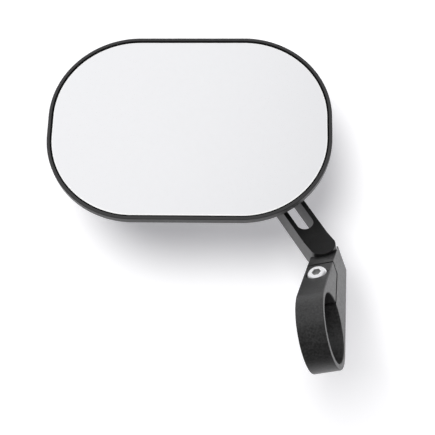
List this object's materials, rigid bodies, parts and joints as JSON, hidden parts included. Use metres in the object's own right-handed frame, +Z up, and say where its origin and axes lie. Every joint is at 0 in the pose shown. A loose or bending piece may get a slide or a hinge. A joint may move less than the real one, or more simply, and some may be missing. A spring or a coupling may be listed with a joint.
{
  "type": "bicycle handlebar mirror",
  "caption": "Bicycle rear-view mirror: split ring clamp for a handlebar, pivoting slotted arm and a rounded rectangular flat mirror head on a ball joint.",
  "frame": {"origin": "centre of the clamp bore, halfway across the clamp's width", "axes": "+X along the handlebar, towards the side of the clamp away from the glass's long end; +Z up from the bore towards the arm; the glass faces -Y, towards the rider"},
  "size_m": [0.1065, 0.0719, 0.139],
  "materials": {
    "clamp_black_alloy": "bead-blasted black anodised",
    "arm_black_alloy": "satin black anodised",
    "screw_stainless": "bright stainless",
    "small_screw_steel": "plain steel",
    "zinc_steel": "zinc plated",
    "nut_steel": "zinc plated",
    "nylon_insert": "plain moulded nylon",
    "polymer_washer": "plain black polymer",
    "acetal_seat": "natural acetal",
    "clamp_plate_polymer": "glass-filled black polymer",
    "housing_black_polymer": "fine-textured black",
    "rim_grey_polymer": "fine-textured dark grey",
    "gasket_rubber": "matt black rubber",
    "mirror_coating": "front-silvered look, polished",
    "backing_foam": "grey adhesive foam"
  },
  "bodies": {
    "clamp": {"clamp_body": "clamp_black_alloy", "pivot_washer": "polymer_washer", "pivot_lock_washer": "zinc_steel"},
    "clamp_bolt": {"clamp_screw": "screw_stainless"},
    "pivot_bolt": {"pivot_screw": "screw_stainless"},
    "arm": {"arm_link": "arm_black_alloy"},
    "stud_carriage": {"slot_washer_front": "polymer_washer", "slot_washer_rear": "zinc_steel"},
    "stud": {"ball_stud": "zinc_steel", "lock_nut": "nut_steel", "nut_insert": "nylon_insert"},
    "ball_seats": {"ball_seat_rear": "acetal_seat", "ball_seat_front": "acetal_seat"},
    "head": {"rear_housing": "housing_black_polymer", "front_rim": "rim_grey_polymer", "rim_gasket": "gasket_rubber", "mirror_glass": "mirror_coating", "glass_backing": "backing_foam", "ball_clamp_plate": "clamp_plate_polymer", "plate_screw_1": "small_screw_steel", "plate_screw_2": "small_screw_steel", "plate_screw_3": "small_screw_steel"}
  },
  "joints": [
    {"name": "clamp_screw_turn", "type": "hinge", "parent": "clamp", "child": "clamp_bolt", "pos_m": [0, -0.0014, 0.02241], "axis": [0, -0.9521, 0.3057], "continuous": true},
    {"name": "pivot_screw_turn", "type": "hinge", "parent": "clamp", "child": "pivot_bolt", "pos_m": [0, 0.0091, 0.0404], "axis": [-0.1252, 0.9506, -0.284], "continuous": true},
    {"name": "arm_pivot", "type": "hinge", "parent": "clamp", "child": "arm", "pos_m": [0, 0.0091, 0.0404], "axis": [0.1252, -0.9506, 0.284], "range_deg": [-24, 30]},
    {"name": "stud_slide", "type": "slide", "parent": "arm", "child": "stud_carriage", "axis": [-0.4613, -0.0144, 0.8871], "range_m": [-0.018, 0.004]},
    {"name": "stud_swivel", "type": "hinge", "parent": "stud_carriage", "child": "stud", "pos_m": [-0.01838, -0.00209, 0.08159], "axis": [0.226, -0.9688, 0.1018], "range_deg": [-25, 25]},
    {"name": "ball_tilt", "type": "hinge", "parent": "stud", "child": "ball_seats", "pos_m": [-0.01838, -0.00209, 0.08159], "axis": [0.9524, 0.3031, -0.0326], "range_deg": [-24, 8]},
    {"name": "ball_pan", "type": "hinge", "parent": "ball_seats", "child": "head", "pos_m": [-0.01838, -0.00209, 0.08159], "axis": [0.0873, -0.1689, 0.9817], "range_deg": [-20, 12]}
  ]
}
